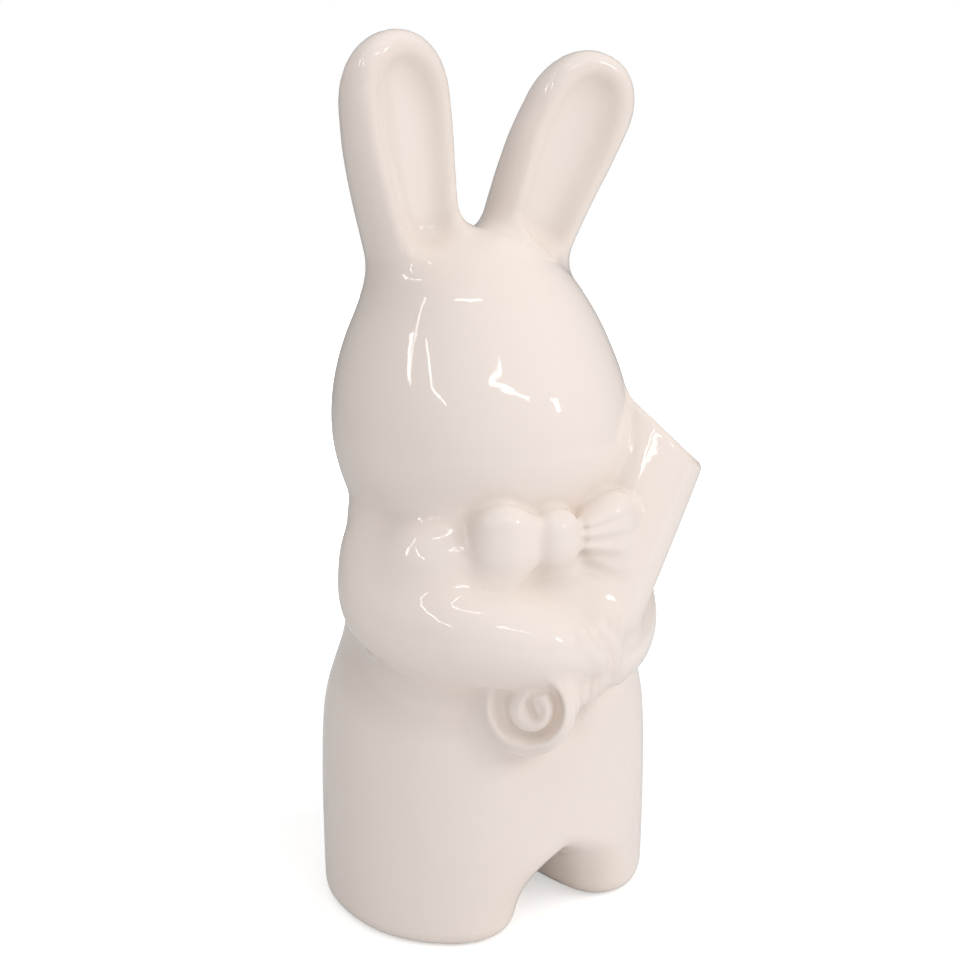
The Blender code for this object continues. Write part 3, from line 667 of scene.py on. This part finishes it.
floor_white = bpy.data.materials.new("floor_white")
floor_white.use_nodes = True
tree = floor_white.node_tree
shader = tree.nodes["Principled BSDF"]
shader.inputs["Base Color"].default_value = FLOOR_WHITE
shader.inputs["Roughness"].default_value = 1.0
shader.inputs["Specular IOR Level"].default_value = 0.0
seen = node(tree, "ShaderNodeLightPath", {}, {}, "Is Camera Ray")
place = node(tree, "ShaderNodeTexCoord", {}, {}, "Object")
away = node(tree, "ShaderNodeVectorMath", {"operation": "LENGTH"}, {0: place}, "Value")
fade_out = {0: away, 1: 0.15, 2: 0.7, 3: 0.46, 4: 1.5}  # from and to in metres, then in light
glow = node(tree, "ShaderNodeMapRange", {"interpolation_type": "SMOOTHSTEP"}, fade_out)
shader.inputs["Emission Color"].default_value = LIGHT_WHITE
tree.links.new((seen * glow).socket, shader.inputs["Emission Strength"])
floor_mesh.materials.append(floor_white)

world = bpy.data.worlds.new("studio_air")
scene.world = world
world.use_nodes = True
tree = world.node_tree
background = tree.nodes["Background"]
seen = node(tree, "ShaderNodeLightPath", {}, {}, "Is Camera Ray")
background.inputs["Color"].default_value = LIGHT_WHITE
tree.links.new((AIR_LIGHT + seen * (1 - AIR_LIGHT)).socket, background.inputs["Strength"])

# Each lamp is a panel with two ends, a width and its watts. Only the narrow ones show in the glaze.
LAMPS = [
    ("right_soft", (1.6, -0.8, 0.95), (0.8, -1.6, 0.95), 1.1, 13.6, False),
    ("top_soft", (-0.7, 0.0, 2.0), (0.7, 0.0, 2.0), 1.4, 7.8, False),
    ("left_soft", (-1.0, -0.4, 1.7), (-0.4, -1.0, 1.7), 0.8, 3.0, False),
    ("front_soft", (-1.15, -1.18, 0.35), (-0.35, -1.62, 0.35), 0.6, 4.1, False),
    ("window_left", (-0.84, -0.05, 0.95), (-0.97, -0.16, 0.76), 0.04, 0.4, True),
    ("window_middle", (-0.78, -0.30, 0.97), (-0.83, -0.52, 0.77), 0.022, 0.25, True),
    ("window_foot", (-0.83, -0.52, 0.77), (-0.77, -0.70, 0.67), 0.022, 0.20, True),
    ("window_slant", (-0.99, -0.20, 0.73), (-0.58, 0.01, 1.17), 0.03, 0.45, True),
    ("ceiling_strip", (-0.37, -0.35, 1.21), (-0.05, -0.54, 1.19), 0.03, 0.3, True),
    ("front_upper", (-0.01, -0.88, 0.91), (-0.20, -0.89, 0.86), 0.04, 0.2, True),
    ("front_lower", (-0.20, -0.89, 0.86), (0.25, -0.98, 0.71), 0.03, 0.35, True),
    ("right_pane", (0.57, -0.88, 0.66), (0.58, -0.90, 0.52), 0.09, 0.4, True),
]
FIGURE_MIDDLE = Vector((0, 0, 0.16))

for name, end, other_end, width, power, mirrored in LAMPS:
    middle, along = (Vector(end) + Vector(other_end)) / 2, Vector(other_end) - Vector(end)
    lamp = bpy.data.lights.new(name, "AREA")
    lamp.shape = "RECTANGLE"
    lamp.size, lamp.size_y = along.length, width
    lamp.energy = power
    holder = bpy.data.objects.new(name, lamp)
    back = (middle - FIGURE_MIDDLE).normalized()
    side = (along - along.dot(back) * back).normalized()
    holder.location = middle
    holder.rotation_euler = Matrix((side, back.cross(side), back)).transposed().to_euler()
    holder.visible_glossy = mirrored
    scene.collection.objects.link(holder)

# Camera
# Held level with the rabbit's crown, a little over 0.4 m away off its right front, and looking
# slightly down.
CAMERA_AWAY = 0.435
CAMERA_HEIGHT = 0.229
CAMERA_AZIMUTH = math.radians(-35)
CAMERA_PITCH = math.radians(10.3)
PICTURE_WIDTH = 960
FOCAL_PIXELS = 1232
MIDDLE_PIXEL = 484

camera_data = bpy.data.cameras.new("camera")
camera = bpy.data.objects.new("camera", camera_data)
scene.collection.objects.link(camera)
camera_data.sensor_width = 36.0
camera_data.lens = FOCAL_PIXELS * camera_data.sensor_width / PICTURE_WIDTH
camera_data.shift_x = (PICTURE_WIDTH / 2 - MIDDLE_PIXEL) / PICTURE_WIDTH
camera_data.clip_start = 0.01
camera.location = Vector((TRUNK_PLACE.x + CAMERA_AWAY * math.sin(CAMERA_AZIMUTH),
                          TRUNK_PLACE.y - CAMERA_AWAY * math.cos(CAMERA_AZIMUTH), CAMERA_HEIGHT))
camera.rotation_euler = (math.pi / 2 - CAMERA_PITCH, 0.0, CAMERA_AZIMUTH)
scene.camera = camera
scene.view_settings.view_transform = "Standard"
